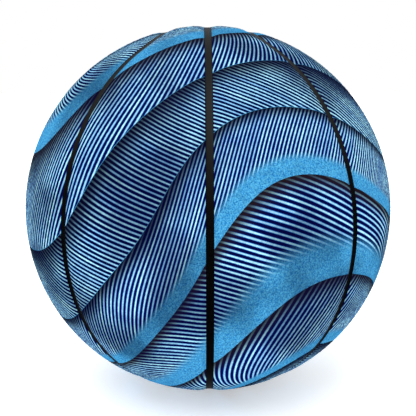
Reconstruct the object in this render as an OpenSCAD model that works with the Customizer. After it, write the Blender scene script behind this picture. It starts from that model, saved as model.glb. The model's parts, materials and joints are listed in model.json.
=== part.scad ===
// Basketball of eight cover panels on a wound carcass, with a self-sealing valve.
// Origin at the ball's centre, +Z up, front at -Y.
// The centre seam lies in the plane x = 0 and the girth seam in the plane y = 0.
// A closed loop seam goes round each end of the X axis.

/* [Ball] */
// Outside diameter over the cover panels
ball_d = 240; // [225:1:250]
// Thickness of a cover panel
panel_t = 1.8; // [1.5:0.1:2.6]
// Thickness of the rubber carcass under the panels
carcass_t = 0.9; // [0.6:0.1:2]
// Thickness of the nylon thread wound round the bladder
winding_t = 0.7; // [0.4:0.1:1.5]
// Thickness of the air bladder
bladder_t = 0.8; // [0.5:0.1:1.5]
// Film of cement between two layers
bond_gap = 0.2; // [0.1:0.05:0.4]

/* [Seams] */
// Width of a black seam strip
strip_w = 4; // [3:0.1:6]
// Thickness of a seam strip, whose face lies below the panels
strip_t = 0.6; // [0.3:0.1:1.2]
// Gap between a strip and the panels or strips beside it
strip_gap = 0.1; // [0.05:0.05:0.3]

/* [Side loops] */
// Half the length of a loop, as an angle at the ball's centre
loop_half_length = 77.5; // [74:0.5:80]
// Half the width of a loop, as an angle at the ball's centre
loop_half_width = 46; // [40:0.5:50]
// Step inward from a loop's side arcs to its end arcs
loop_step = 0.05; // [0.03:0.01:0.2]

/* [Valve] */
// Bearing of the valve from the back of the ball toward +X, in degrees
valve_bearing = 22; // [12:1:32]
// Depth of the valve's face below the ball's surface
valve_inset = 0.4; // [0.2:0.1:1]
// Outer radius of the valve seat's neck, which passes through the wall
neck_r = 4.4; // [4:0.1:6]
// Gap between the neck and the holes in the layers
neck_gap = 0.1; // [0.05:0.05:0.3]
// Radius of the seat's flange inside the bladder
flange_r = 13; // [9:0.5:18]
// Thickness of the seat's flange
flange_t = 1; // [0.6:0.1:2]
// Outer radius of the seat's boot behind the flange
boot_r = 5.5; // [4.5:0.1:7]
// Depth of the boot below the valve's face
boot_depth = 15; // [12:0.5:20]
// Radius of the valve core's head
head_r = 3.2; // [2.9:0.1:3.6]
// Height of the valve core's head
head_h = 2.4; // [1.5:0.1:3]
// Radius of the valve core's shank
shank_r = 2.5; // [2:0.1:2.8]
// Length of the valve core with its head
core_l = 17; // [13:0.5:22]
// Depth of the core's face below the seat's face
core_inset = 0.2; // [0:0.1:0.6]
// Length of the taper at the core's inner end
taper_l = 2; // [1:0.5:4]
// Radius of the core's inner end
taper_r = 1.9; // [1.8:0.1:2]
// Radial running gap between the core and the seat
core_gap = 0.05; // [0.02:0.01:0.1]
// Diameter of the needle channel
needle_d = 2; // [1.6:0.1:2.4]
// Depth of the needle channel below the core's face
needle_depth = 10; // [6:0.5:11]
// Radius of the funnel that guides the needle in
funnel_r = 1.7; // [1.4:0.1:2]
// Depth of the funnel
funnel_h = 0.8; // [0.4:0.1:1.5]
// Width of the sealing slit below the needle channel
slit_w = 0.3; // [0.2:0.05:0.5]
// Length of the sealing slit across the core
slit_l = 3; // [2.2:0.1:3.4]

/* [Hidden] */
$fn = 180;

// Radii of the layers, from the surface inward
ball_r = ball_d / 2;
cover_in = ball_r - panel_t;
strip_out = cover_in + strip_t;
carcass_out = cover_in - bond_gap;
carcass_in = carcass_out - carcass_t;
winding_out = carcass_in - bond_gap;
winding_in = winding_out - winding_t;
bladder_out = winding_in - bond_gap;
bladder_in = bladder_out - bladder_t;
flange_out = bladder_in - bond_gap;
flange_in = flange_out - flange_t;

// Angles at the ball's centre across a seam, from its middle line
strip_angle = asin(strip_w / 2 / ball_r);
wall_angle = asin((strip_w / 2 + strip_gap) / ball_r);
gap_angle = wall_angle - strip_angle;
butt_angle = wall_angle + gap_angle;

// Cutters reach this far past what they cut
cut_past = 2;
far = ball_d;

// A loop's sides are great circles, and each end is the small circle that touches both
end_angle = atan2(
    sin(loop_half_width) * cos(loop_half_length),
    1 - sin(loop_half_width) * sin(loop_half_length)
);
end_rise = loop_half_length - end_angle;
end_seam = end_angle - asin(loop_step / ball_r);
// Turns from the middle of a side arc and of an end arc to where the two touch
side_turn = asin(sin(end_rise) / cos(end_angle));
end_turn = acos(sin(loop_half_width) * sin(end_rise) / cos(end_angle));
// Rise of the plane through the Y axis where the side arcs give way to an end arc
tip_rise = atan2(sin(end_rise), cos(end_rise) * cos(loop_half_width) ^ 2);

// Heights along the valve's axis, from the ball's centre
valve_face = ball_r - valve_inset;
core_face = valve_face - core_inset;
head_base = core_face - head_h;
core_end = core_face - core_l;
boot_end = valve_face - boot_depth;
needle_end = core_face - needle_depth;

cover_colour = [0.16, 0.45, 0.74];
strip_colour = [0.06, 0.06, 0.07];
carcass_colour = [0.16, 0.16, 0.17];
winding_colour = [0.86, 0.85, 0.8];
bladder_colour = [0.1, 0.1, 0.11];
seat_colour = [0.09, 0.09, 0.1];
core_colour = [0.04, 0.04, 0.045];

// Point at radius r and angle a from the axis of revolution, in a section
function on_ray(r, a) = r * [sin(a), cos(a)];

// Section of everything between two angles from the axis
module wedge_2d(a1, a2) {
    steps = 4;
    rim = [for (i = [0:steps]) on_ray(far, a1 + (a2 - a1) * i / steps)];
    polygon(concat([[0, 0]], rim));
}

// Section of a ring between two radii
module ring_2d(r_out, r_in) {
    difference() {
        circle(r_out);
        circle(r_in);
    }
}

// Cutter through the cover between two angles from the axis
module cover_cut(a1, a2) {
    rotate_extrude() intersection() {
        ring_2d(ball_r + cut_past, cover_in - cut_past);
        wedge_2d(a1, a2);
    }
}

// Cutter for a straight seam, from panel edge to panel edge
module seam_cut() {
    cover_cut(90 - wall_angle, 90 + wall_angle);
}

// Cutter for all that lies inside a seam at angle a, up to the outer panel's edge
module inside_of(a) {
    cover_cut(0, a + wall_angle);
}

// Cutter for all that lies outside a seam at angle a, up to the inner panel's edge
module outside_of(a) {
    cover_cut(a - wall_angle, 180);
}

// Seam strip at angle a from the axis, over part of a turn; 90 makes a great circle
module strip(a, turn = 360, from = 0) {
    rotate_extrude(angle = turn, start = from) intersection() {
        ring_2d(strip_out, cover_in);
        wedge_2d(a - strip_angle, a + strip_angle);
    }
}

// Places for the axis of revolution
module about_x() {
    rotate([0, 90, 0]) children();
}

module about_front() {
    rotate([90, 0, 0]) children();
}

module about_side_arc() {
    rotate([0, 90, 90 - loop_half_width]) children();
}

module about_end_arc() {
    rotate([0, 90 - end_rise, 0]) children();
}

module about_valve() {
    rotate([-90, 0, -valve_bearing]) children();
}

// Children at the upper and the lower end of a loop
module both_ends() {
    for (lower = [0, 1]) mirror([0, 0, lower]) children();
}

// Half of space past the plane where the right loop's upper end arc starts
module past_tip() {
    rotate([0, -tip_rise, 0]) translate([-far, -far, 0]) cube(2 * far);
}

// Space between the right loop's two end arcs
module between_tips() {
    intersection() {
        rotate([0, -tip_rise, 0]) translate([-far, -far, -2 * far]) cube(2 * far);
        rotate([0, tip_rise, 0]) translate([-far, -far, 0]) cube(2 * far);
    }
}

// Cover of the whole ball, before it is cut into panels
module cover() {
    difference() {
        sphere(ball_r);
        sphere(cover_in);
    }
}

// Quarter of the cover at the front right, cut back from the centre and girth seams
module front_right_quarter() {
    difference() {
        intersection() {
            cover();
            translate([0, -far, -far / 2]) cube(far);
        }
        about_x() seam_cut();
        about_front() seam_cut();
    }
}

// Panel between the centre seam and the right loop, at the front
module centre_panel() {
    difference() {
        front_right_quarter();
        intersection() {
            about_side_arc() inside_of(90);
            between_tips();
        }
        both_ends() about_end_arc() inside_of(end_seam);
    }
}

// Panel inside the right loop, in front of the girth seam
module side_panel() {
    difference() {
        cover();
        about_front() outside_of(90);
        about_side_arc() outside_of(90);
        both_ends() intersection() {
            about_end_arc() outside_of(end_seam);
            past_tip();
        }
    }
}

// Strip along the front side of the right loop
module loop_side_strip() {
    middle = 270;
    reach = side_turn - gap_angle;
    about_side_arc() strip(90, 2 * reach, middle - reach);
}

// Strip round the upper end of the right loop
module loop_end_strip() {
    middle = 180;
    about_end_arc() strip(end_seam, 2 * end_turn, middle - end_turn);
}

// Strip of the girth seam between two rises from the X axis, on the right
module girth_strip(from, to) {
    about_front() strip(90, to - from, from);
}

// Girth strip from a loop's end to the centre ring, at the upper right
module bridge_strip() {
    girth_strip(loop_half_length + butt_angle, 90 - butt_angle);
}

// Girth strip across the inside of the right loop
module side_strip() {
    girth_strip(butt_angle - loop_half_length, loop_half_length - butt_angle);
}

// Hole for the valve's neck through every layer
module neck_hole() {
    about_valve() translate([0, 0, flange_in]) cylinder(r = neck_r + neck_gap, h = far);
}

// Closed layer between two radii, open only where the valve's neck passes
module layer(r_out, r_in) {
    difference() {
        sphere(r_out);
        sphere(r_in);
        neck_hole();
    }
}

module panel_front_left() {
    color(cover_colour) mirror([1, 0, 0]) centre_panel();
}

module panel_front_right() {
    color(cover_colour) centre_panel();
}

module panel_back_left() {
    color(cover_colour) mirror([1, 0, 0]) mirror([0, 1, 0]) centre_panel();
}

module panel_back_right() {
    color(cover_colour) difference() {
        mirror([0, 1, 0]) centre_panel();
        neck_hole();
    }
}

module side_panel_left_front() {
    color(cover_colour) mirror([1, 0, 0]) side_panel();
}

module side_panel_left_back() {
    color(cover_colour) mirror([1, 0, 0]) mirror([0, 1, 0]) side_panel();
}

module side_panel_right_front() {
    color(cover_colour) side_panel();
}

module side_panel_right_back() {
    color(cover_colour) mirror([0, 1, 0]) side_panel();
}

module strip_centre_ring() {
    color(strip_colour) about_x() strip(90);
}

module strip_loop_left_front() {
    color(strip_colour) mirror([1, 0, 0]) loop_side_strip();
}

module strip_loop_left_back() {
    color(strip_colour) mirror([1, 0, 0]) mirror([0, 1, 0]) loop_side_strip();
}

module strip_loop_left_top() {
    color(strip_colour) mirror([1, 0, 0]) loop_end_strip();
}

module strip_loop_left_bottom() {
    color(strip_colour) mirror([1, 0, 0]) mirror([0, 0, 1]) loop_end_strip();
}

module strip_loop_right_front() {
    color(strip_colour) loop_side_strip();
}

module strip_loop_right_back() {
    color(strip_colour) mirror([0, 1, 0]) loop_side_strip();
}

module strip_loop_right_top() {
    color(strip_colour) loop_end_strip();
}

module strip_loop_right_bottom() {
    color(strip_colour) mirror([0, 0, 1]) loop_end_strip();
}

module strip_side_left() {
    color(strip_colour) mirror([1, 0, 0]) side_strip();
}

module strip_side_right() {
    color(strip_colour) side_strip();
}

module strip_bridge_top_left() {
    color(strip_colour) mirror([1, 0, 0]) bridge_strip();
}

module strip_bridge_top_right() {
    color(strip_colour) bridge_strip();
}

module strip_bridge_bottom_left() {
    color(strip_colour) mirror([1, 0, 0]) mirror([0, 0, 1]) bridge_strip();
}

module strip_bridge_bottom_right() {
    color(strip_colour) mirror([0, 0, 1]) bridge_strip();
}

module carcass() {
    color(carcass_colour) layer(carcass_out, carcass_in);
}

module thread_winding() {
    color(winding_colour) layer(winding_out, winding_in);
}

module bladder() {
    color(bladder_colour) layer(bladder_out, bladder_in);
}

// Moulded rubber seat: a flange inside the bladder, a neck out to the surface and a boot
module valve_seat() {
    color(seat_colour) about_valve() difference() {
        union() {
            intersection() {
                difference() {
                    sphere(flange_out);
                    sphere(flange_in);
                }
                cylinder(r = flange_r, h = far);
            }
            translate([0, 0, boot_end]) cylinder(r = boot_r, h = flange_in + flange_t / 2 - boot_end);
            translate([0, 0, flange_in]) cylinder(r = neck_r, h = valve_face - flange_in);
        }
        translate([0, 0, boot_end - cut_past]) cylinder(r = shank_r + core_gap, h = far);
        translate([0, 0, head_base - core_gap]) cylinder(r = head_r + core_gap, h = far);
    }
}

// Self-sealing plug with a funnel, a needle channel and a slit that closes behind the needle
module valve_core() {
    color(core_colour) about_valve() difference() {
        union() {
            translate([0, 0, head_base]) cylinder(r = head_r, h = head_h);
            translate([0, 0, core_end + taper_l]) cylinder(r = shank_r, h = core_l - taper_l - head_h / 2);
            translate([0, 0, core_end]) cylinder(r1 = taper_r, r2 = shank_r, h = taper_l);
        }
        translate([0, 0, needle_end]) cylinder(r = needle_d / 2, h = far);
        translate([0, 0, core_face - funnel_h]) cylinder(r1 = needle_d / 2, r2 = funnel_r, h = funnel_h);
        translate([-slit_l / 2, -slit_w / 2, core_end - cut_past])
            cube([slit_l, slit_w, needle_end - core_end + cut_past + slit_w]);
    }
}

panel_front_left();
panel_front_right();
panel_back_left();
panel_back_right();
side_panel_left_front();
side_panel_left_back();
side_panel_right_front();
side_panel_right_back();
strip_centre_ring();
strip_loop_left_front();
strip_loop_left_back();
strip_loop_left_top();
strip_loop_left_bottom();
strip_loop_right_front();
strip_loop_right_back();
strip_loop_right_top();
strip_loop_right_bottom();
strip_side_left();
strip_side_right();
strip_bridge_top_left();
strip_bridge_top_right();
strip_bridge_bottom_left();
strip_bridge_bottom_right();
carcass();
thread_winding();
bladder();
valve_seat();
valve_core();
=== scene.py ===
"""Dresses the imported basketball: printed pebbled panels, seam strips, valve and inner layers."""

from __future__ import annotations

import json
import logging
import math
from dataclasses import dataclass, field
from enum import Enum
from typing import Sequence, Union

import bpy
import numpy as np
from mathutils import Matrix, Vector

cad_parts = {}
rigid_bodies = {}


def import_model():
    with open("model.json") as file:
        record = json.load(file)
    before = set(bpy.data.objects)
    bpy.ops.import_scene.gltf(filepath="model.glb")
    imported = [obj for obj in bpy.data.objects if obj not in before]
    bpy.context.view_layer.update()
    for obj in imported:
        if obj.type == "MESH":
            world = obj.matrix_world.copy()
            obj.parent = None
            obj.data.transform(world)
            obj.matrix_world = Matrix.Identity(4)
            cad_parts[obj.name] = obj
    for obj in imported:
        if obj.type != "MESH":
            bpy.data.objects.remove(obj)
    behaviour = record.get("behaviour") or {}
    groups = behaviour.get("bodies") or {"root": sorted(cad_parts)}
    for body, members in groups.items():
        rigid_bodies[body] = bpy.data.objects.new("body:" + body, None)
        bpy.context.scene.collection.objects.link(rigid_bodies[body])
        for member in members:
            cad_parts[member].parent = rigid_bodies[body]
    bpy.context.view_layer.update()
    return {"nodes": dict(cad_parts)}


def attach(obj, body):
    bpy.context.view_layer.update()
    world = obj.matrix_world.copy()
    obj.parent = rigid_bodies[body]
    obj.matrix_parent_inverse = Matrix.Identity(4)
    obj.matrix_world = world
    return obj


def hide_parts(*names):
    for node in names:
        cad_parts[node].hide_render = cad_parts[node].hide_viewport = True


LOG = logging.getLogger("basketball")
MM = 0.001
TURN = 2 * math.pi
QUARTER = math.pi / 2

Socket = bpy.types.NodeSocket
Feed = Union[Socket, float, Sequence[float]]
Feeds = dict[Union[str, int], Feed]
Colour = tuple[float, float, float, float]
Signs = tuple[int, int, int]
Span = tuple[float, float]

WHITE: Colour = (1.0, 1.0, 1.0, 1.0)
UP = np.array([0.0, 0.0, 1.0])
FRONT = np.array([0.0, -1.0, 0.0])
FRONT_RIGHT = np.array([1.0, -1.0, 1.0])  # signs of x, y and z in the upper front right
SHARP_ANGLE = math.radians(50)  # edges sharper than this are shaded as edges


def unit(vectors: np.ndarray) -> np.ndarray:
    """Each vector, along the last axis, divided by its own length."""
    return vectors / np.linalg.norm(vectors, axis=-1, keepdims=True)


def srgb(red: int, green: int, blue: int) -> Colour:
    """Linear colour of an 8-bit display colour.

    The display standard's curve has a straight toe, and a power of 2.4 above it.

    Args:
        red: Red from 0 to 255.
        green: Green from 0 to 255.
        blue: Blue from 0 to 255.

    Returns:
        Red, green, blue and an alpha of one.
    """
    shares = np.array([red, green, blue]) / 255
    linear = np.where(shares > 0.04045, ((shares + 0.055) / 1.055) ** 2.4, shares / 12.92)
    return (*map(float, linear), 1.0)


def linked(name: str, data: bpy.types.ID) -> bpy.types.Object:
    """Makes an object and links it into the scene.

    Args:
        name: Name of the object.
        data: Its mesh, light or camera.

    Returns:
        The new object, at the origin.
    """
    made = bpy.data.objects.new(name, data)
    bpy.context.scene.collection.objects.link(made)
    return made


def fit(piece: bpy.types.Object, material: bpy.types.Material, node: str) -> None:
    """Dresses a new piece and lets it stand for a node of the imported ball.

    Args:
        piece: The new piece.
        material: Its finish.
        node: The node that it stands for.
    """
    piece.data.materials.append(material)
    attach(piece, "ball")
    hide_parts(node)
    LOG.info("%s: %d faces", piece.name, len(piece.data.polygons))


@dataclass(frozen=True)
class BallSizes:
    """Radii and clearances of the ball, in metres, as in the part's source.

    The lift is the scene's own: it keeps new pieces clear of the layer below them.
    """

    radius: float = 120.0 * MM
    cover_in: float = 118.2 * MM
    strip_out: float = 118.8 * MM
    strip_half: float = 2.0 * MM
    strip_gap: float = 0.1 * MM
    loop_step: float = 0.05 * MM
    valve_bearing: float = math.radians(22)
    lift: float = 0.05 * MM

    @property
    def wall_half(self) -> float:
        """Distance from a seam's middle line to a panel's wall."""
        return self.strip_half + self.strip_gap

    @property
    def back(self) -> float:
        """Radius of the inner faces of the panels and strips."""
        return self.cover_in + self.lift

    @property
    def valve_axis(self) -> np.ndarray:
        """Direction of the valve from the ball's centre."""
        return np.array([math.sin(self.valve_bearing), math.cos(self.valve_bearing), 0.0])

    def angle(self, length: float) -> float:
        """Angle at the ball's centre whose sine is the length over the ball's radius."""
        return math.asin(length / self.radius)


@dataclass(frozen=True)
class SeamPlan:
    """Where the seams run on a ball of radius one, at the front right and mirrored from there."""

    loop_half_length: float = math.radians(77.5)
    loop_half_width: float = math.radians(46.0)

    @property
    def end_angle(self) -> float:
        """Angle at the ball's centre from a loop end's own axis to its middle line."""
        across, along = math.sin(self.loop_half_width), self.loop_half_length
        return math.atan2(across * math.cos(along), 1 - across * math.sin(along))

    @property
    def end_rise(self) -> float:
        """Rise of a loop end's own axis from the X axis."""
        return self.loop_half_length - self.end_angle

    @property
    def side_turn(self) -> float:
        """Turn from the middle of a loop's side to where its end starts."""
        return math.asin(math.sin(self.end_rise) / math.cos(self.end_angle))

    @property
    def end_turn(self) -> float:
        """Turn from a loop's tip to where its side starts."""
        across = math.sin(self.loop_half_width) * math.sin(self.end_rise)
        return math.acos(across / math.cos(self.end_angle))

    @property
    def side_pole(self) -> np.ndarray:
        """Pole, on the loop's inner side, of the great circle along its front side."""
        return np.array([math.sin(self.loop_half_width), math.cos(self.loop_half_width), 0.0])

    @property
    def side_middle(self) -> np.ndarray:
        """Point in the middle of the loop's front side."""
        return np.array([math.cos(self.loop_half_width), -math.sin(self.loop_half_width), 0.0])

    @property
    def end_pole(self) -> np.ndarray:
        """Axis of the small circle round the loop's upper end."""
        return np.array([math.cos(self.end_rise), 0.0, math.sin(self.end_rise)])

    @property
    def end_way(self) -> np.ndarray:
        """Direction from the upper end's axis toward the loop's tip."""
        return np.array([-math.sin(self.end_rise), 0.0, math.cos(self.end_rise)])

    @property
    def tip(self) -> np.ndarray:
        """Point at the loop's upper end."""
        return np.array([math.cos(self.loop_half_length), 0.0, math.sin(self.loop_half_length)])

    def loop_edge(
        self, v: np.ndarray, inset: float, corner: float, cut: float = 0.0
    ) -> np.ndarray:
        """Line beside the right loop's front half, from its lower corner to its upper one.

        The middle part is a circle about the side's pole, and past side_turn it goes on as a
        circle about the end's axis. Points are spread evenly by length.

        Args:
            v: Places along the line, from -1 at the lower corner to 1 at the upper one.
            inset: Angle from the loop's middle line, positive inside the loop.
            corner: Angle from the girth seam's middle line where the line stops.
            cut: Angle by which the line stops short of that.

        Returns:
            Points on the ball of radius one, one row for each v.
        """
        reach = self.end_angle - inset
        stop = math.asin(math.sin(corner) / math.sin(reach)) + cut / math.sin(reach)
        side_length = math.cos(inset) * self.side_turn
        end_length = math.sin(reach) * (self.end_turn - stop)
        along = np.abs(v) * (side_length + end_length)
        rise = (np.minimum(along, side_length) / math.cos(inset))[:, None]
        upward = np.cos(rise) * self.side_middle + np.sin(rise) * UP
        side = math.sin(inset) * self.side_pole + math.cos(inset) * upward
        turn = (self.end_turn - np.maximum(along - side_length, 0.0) / math.sin(reach))[:, None]
        round_end = np.cos(turn) * self.end_way + np.sin(turn) * FRONT
        end = math.cos(reach) * self.end_pole + math.sin(reach) * round_end
        line = np.where((along < side_length)[:, None], side, end)
        line[:, 2] *= np.where(v < 0, -1.0, 1.0)
        return line

    def centre_edge(self, v: np.ndarray, inset: float) -> np.ndarray:
        """Line beside the centre seam at the front right.

        It is a circle about X, as far as the girth seam's edge.

        Args:
            v: Places along the line, from -1 at the bottom to 1 at the top.
            inset: Angle from the seam's middle line.

        Returns:
            Points on the ball of radius one, one row for each v.
        """
        rise = v * math.acos(math.tan(inset))
        across, level = np.full_like(v, math.sin(inset)), math.cos(inset)
        return np.stack([across, -level * np.cos(rise), level * np.sin(rise)], 1)

    def girth_edge(self, v: np.ndarray, inset: float, cut: float) -> np.ndarray:
        """Line in front of the girth seam inside the right loop.

        It is a circle about Y between the loop's ends.

        Args:
            v: Places along the line, from -1 at the bottom to 1 at the top.
            inset: Angle from the seam's middle line.
            cut: Angle by which the line stops short of the loop's edge.

        Returns:
            Points on the ball of radius one, one row for each v.
        """
        reach = self.end_angle - inset
        turn = math.asin(math.sin(inset) / math.sin(reach))
        top = self.end_rise + math.atan2(math.sin(reach) * math.cos(turn), math.cos(reach)) - cut
        rise = v * top
        across, level = np.full_like(v, -math.sin(inset)), math.cos(inset)
        return np.stack([level * np.cos(rise), across, level * np.sin(rise)], 1)

    def loop_depth(self, points: np.ndarray) -> np.ndarray:
        """Angle from the loop's middle line, positive inside the loop.

        Along the sides it is the rise above the great circle, and past the plane that holds both
        axes it is measured from the end's axis.

        Args:
            points: Points on the ball of radius one.

        Returns:
            One angle for each point.
        """
        folded = np.abs(points) * FRONT_RIGHT
        side = np.arcsin(np.clip(folded @ self.side_pole, -1, 1))
        end = self.end_angle - np.arccos(np.clip(folded @ self.end_pole, -1, 1))
        parting = np.cross(self.side_pole, self.end_pole)
        past = (folded @ parting) * float(self.tip @ parting) > 0
        return np.where(past, end, side)


@dataclass
class Shell:
    """Vertices and faces of one piece while it is put together, and the vertices' painted rim
    shade.

    A ring is a closed row of vertex numbers with the surface on its left, seen from outside.
    """

    points: list[np.ndarray] = field(default_factory=list)
    quads: list[np.ndarray] = field(default_factory=list)
    triangles: list[np.ndarray] = field(default_factory=list)
    rim_shades: list[np.ndarray] = field(default_factory=list)
    count: int = 0

    def add(self, points: np.ndarray, rim: np.ndarray | float = 0.0) -> np.ndarray:
        """Adds vertices.

        Args:
            points: Array whose last axis holds x, y and z.
            rim: How much painted shade they take along a rim and down a wall, from 0 to 1, one for
                all or one each.

        Returns:
            The new vertices' numbers, in the shape of the rest of the array.
        """
        numbers = np.arange(self.count, self.count + points.size // 3).reshape(points.shape[:-1])
        self.points.append(points.reshape(-1, 3))
        self.rim_shades.append(np.broadcast_to(rim, numbers.shape).ravel().astype(np.float32))
        self.count += numbers.size
        return numbers

    def grid(self, numbers: np.ndarray, keep: np.ndarray | None = None) -> None:
        """Adds the four-sided faces of a grid.

        Args:
            numbers: Vertex numbers, first axis to the right and second axis up, from outside.
            keep: True for each cell that gets a face.
        """
        corners = [numbers[:-1, :-1], numbers[1:, :-1], numbers[1:, 1:], numbers[:-1, 1:]]
        faces = np.stack(corners, -1)
        self.quads.append(faces.reshape(-1, 4) if keep is None else faces[keep])

    def band(self, ring: np.ndarray, after: np.ndarray) -> None:
        """Adds faces from a ring on to the next ring, which has as many vertices."""
        self.quads.append(np.stack([np.roll(ring, -1), ring, after, np.roll(after, -1)], 1))

    def step_down(self, ring: np.ndarray, after: np.ndarray) -> None:
        """Adds triangles from a ring on to a coarser one, whose count divides the first one's.

        Args:
            ring: The finer ring.
            after: The coarser ring, which starts beside the finer one's start.
        """
        ratio = len(ring) // len(after)
        half = (ratio + 1) // 2
        edge = np.arange(len(ring))
        near = (edge // ratio + (edge % ratio >= half)) % len(after)
        self.triangles.append(np.stack([np.roll(ring, -1), ring, after[near]], 1))
        self.triangles.append(np.stack([ring[half::ratio], after, np.roll(after, -1)], 1))

    def cap(self, ring: np.ndarray, middle: np.ndarray) -> None:
        """Closes a ring with triangles to one vertex in its middle."""
        centre = np.full_like(ring, int(self.add(middle.reshape(1, 3))[0]))
        self.triangles.append(np.stack([np.roll(ring, -1), ring, centre], 1))

    def to_object(self, name: str, mirror: Signs = (1, 1, 1)) -> bpy.types.Object:
        """Makes the mesh and its object, at the origin.

        Args:
            name: Name of the piece.
            mirror: Signs for x, y and z. Where they mirror the shape, its faces are turned round.

        Returns:
            The new object, linked into the scene.
        """
        way = int(np.prod(mirror))
        kinds = [np.concatenate(faces)[:, ::way] for faces in (self.quads, self.triangles) if faces]
        sides = np.concatenate([np.full(len(faces), faces.shape[1]) for faces in kinds])
        corners = np.concatenate([faces.ravel() for faces in kinds])
        starts = np.concatenate([[0], np.cumsum(sides)[:-1]])
        points = np.concatenate(self.points) * np.array(mirror)
        mesh = bpy.data.meshes.new(name)
        mesh.vertices.add(self.count)
        mesh.vertices.foreach_set("co", points.astype(np.float32).ravel())
        mesh.loops.add(len(corners))
        mesh.loops.foreach_set("vertex_index", corners.astype(np.int32))
        mesh.polygons.add(len(sides))
        mesh.polygons.foreach_set("loop_start", starts.astype(np.int32))
        mesh.polygons.foreach_set("use_smooth", np.ones(len(sides), bool))
        mesh.update(calc_edges=True)
        mesh.set_sharp_from_angle(angle=SHARP_ANGLE)
        return linked(name, mesh)


@dataclass(frozen=True)
class Pebbles:
    """Low domes packed side by side, one in each cube of the pitch.

    The margin is the share of a cube, at each side, that the dome's centre keeps clear of.
    """

    pitch: float = 2.1 * MM
    height: float = 0.19 * MM
    fade: float = 2.5 * MM
    margin: float = 0.15
    steepness: float = 1.6

    AXIS_ODDS = np.array([73856093, 19349663, 83492791], np.uint32)
    SEED_ODD = 2654435761
    SEEDS = (1, 2, 3)
    WORD = 2**32
    STIRS = ((16, 0x7FEB352D), (15, 0x846CA68B))
    LAST_SHIFT = 16
    FAR = 9.0

    @classmethod
    def steady_noise(cls, cells: np.ndarray, seed: int) -> np.ndarray:
        """A number from 0 to 1 for each whole-number cell, the same on every run.

        The three cell numbers are multiplied by large odd numbers, joined bit by bit and stirred.

        Args:
            cells: Whole numbers, with x, y and z on the last axis.
            seed: Picks another set of numbers.

        Returns:
            One number for each cell.
        """
        start = np.uint32(seed * cls.SEED_ODD % cls.WORD)
        mixed = np.bitwise_xor.reduce(cells.astype(np.uint32) * cls.AXIS_ODDS, axis=-1) ^ start
        for shift, odd in cls.STIRS:
            mixed = (mixed ^ (mixed >> np.uint32(shift))) * np.uint32(odd)
        return (mixed ^ (mixed >> np.uint32(cls.LAST_SHIFT))) / cls.WORD

    def heights(self, points: np.ndarray) -> np.ndarray:
        """How far up a dome each point lies.

        A dome's centre is placed at random in each cube. A point's height is the distance to the
        second nearest centre less that to the nearest, over their sum.

        Args:
            points: Points in metres.

        Returns:
            Heights from 0 in the grooves to 1 on the domes.
        """
        scaled = points / self.pitch
        home = np.floor(scaled).astype(np.int64)
        nearest = np.full(points.shape[:-1], self.FAR)
        second = nearest.copy()
        room = 1 - 2 * self.margin
        spread = np.arange(-1, 2)
        for offset in np.stack(np.meshgrid(spread, spread, spread), -1).reshape(-1, 3):
            cell = home + offset
            place = np.stack([self.steady_noise(cell, seed) for seed in self.SEEDS], -1)
            gap = np.linalg.norm(cell + self.margin + room * place - scaled, axis=-1)
            second = np.minimum(second, np.maximum(nearest, gap))
            nearest = np.minimum(nearest, gap)
        return np.clip(self.steepness * (second - nearest) / (second + nearest), 0, 1)


class Draw(Enum):
    """What a band's or a line's random number is drawn for, with the draw's seed."""

    TONE = 0.5
    SLANT = 1.5
    WIDTH = 2.5
    EDGE = 3.5
    INK = 5.5


class MixKind(Enum):
    """What a Mix node mixes: its data type, then its two inputs and its output by number."""

    NUMBERS = ("FLOAT", 2, 3, 0)
    COLOURS = ("RGBA", 6, 7, 2)


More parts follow.
